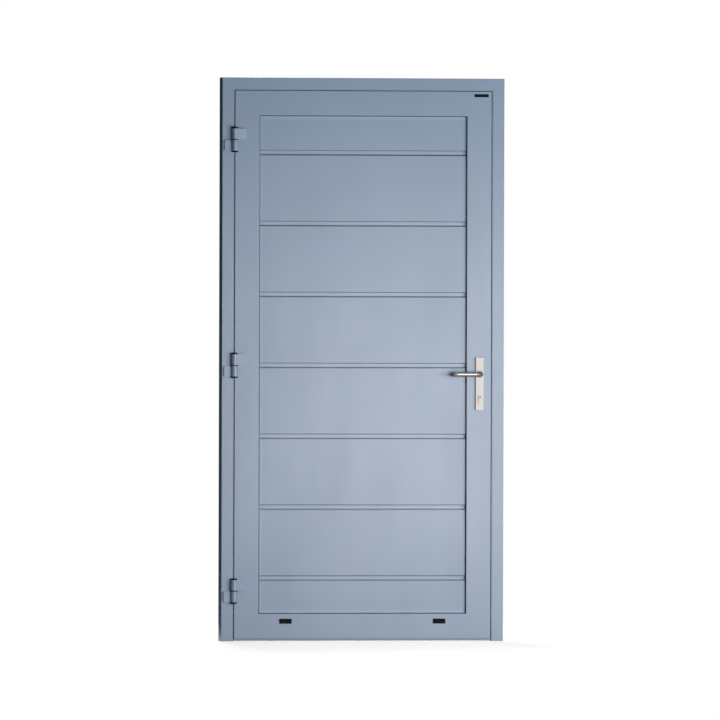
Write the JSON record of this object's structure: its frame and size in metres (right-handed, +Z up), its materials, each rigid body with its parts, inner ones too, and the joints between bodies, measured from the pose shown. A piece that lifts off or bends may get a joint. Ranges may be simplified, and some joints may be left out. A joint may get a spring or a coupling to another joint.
{
  "type": "hinged utility door with frame",
  "caption": "Outward-opening utility door in its frame: mitred aluminium profiles, grooved board infill, surface hinges, lever handle on a long plate, mortise lock and low threshold.",
  "frame": {"origin": "middle of the threshold's underside, on the floor, halfway through the frame's depth", "axes": "+Z up, +X across the doorway away from the hinges, +Y into the building; the face that looks along -Y is the outer one, where the leaf opens"},
  "size_m": [1.066, 0.159, 2.1],
  "materials": {
    "profile_paint": "blue-grey powder coat, fine texture, satin",
    "board_paint": "blue-grey powder coat, fine texture, satin",
    "hinge_paint": "blue-grey powder coat, smooth, satin",
    "strip_paint": "darker blue-grey, satin",
    "mill_aluminium": "plain extruded, satin",
    "seal_rubber": "matt black",
    "black_plastic": "moulded black",
    "lock_steel": "zinc plated",
    "cylinder_nickel": "satin nickel",
    "plate_aluminium": "pale satin",
    "lever_steel": "brushed stainless"
  },
  "bodies": {
    "frame": {"hinge_jamb": "profile_paint", "lock_jamb": "profile_paint", "head": "profile_paint", "threshold": "mill_aluminium", "frame_seal": "seal_rubber", "strike_plate": "lock_steel", "hinge_frame_low": "hinge_paint", "hinge_frame_middle": "hinge_paint", "hinge_frame_top": "hinge_paint", "hinge_pin_low": "lock_steel", "hinge_pin_middle": "lock_steel", "hinge_pin_top": "lock_steel", "hinge_washers": "black_plastic", "hinge_bottom_caps": "black_plastic"},
    "leaf": {"hinge_stile": "profile_paint", "lock_stile": "profile_paint", "top_rail": "profile_paint", "bottom_rail": "profile_paint", "drip_strip": "strip_paint", "board_1": "board_paint", "board_2": "board_paint", "board_3": "board_paint", "board_4": "board_paint", "board_5": "board_paint", "board_6": "board_paint", "board_7": "board_paint", "board_8": "board_paint", "infill_seal": "seal_rubber", "bead_left": "profile_paint", "bead_top": "profile_paint", "bead_right": "profile_paint", "bead_bottom": "profile_paint", "hinge_leaf_low": "hinge_paint", "hinge_leaf_middle": "hinge_paint", "hinge_leaf_top": "hinge_paint", "hinge_top_caps": "black_plastic", "drain_hoods": "black_plastic", "mortise_lock": "lock_steel", "latch_bolt": "lock_steel", "dead_bolt": "lock_steel", "key_cylinder": "cylinder_nickel", "outer_plate": "plate_aluminium", "inner_plate": "plate_aluminium"},
    "handle": {"outer_lever": "lever_steel", "inner_lever": "lever_steel", "spindle": "lock_steel"}
  },
  "joints": [
    {"name": "leaf_swing", "type": "hinge", "parent": "frame", "child": "leaf", "pos_m": [-0.48735, -0.0475, 0], "axis": [0, 0, -1], "range_deg": [0, 170]},
    {"name": "lever_turn", "type": "hinge", "parent": "leaf", "child": "handle", "pos_m": [0.4402, -0.01, 0.996], "axis": [0, -1, 0], "range_deg": [0, 40], "stiffness_Nm_per_rad": 2, "springref_deg": -34.38}
  ]
}
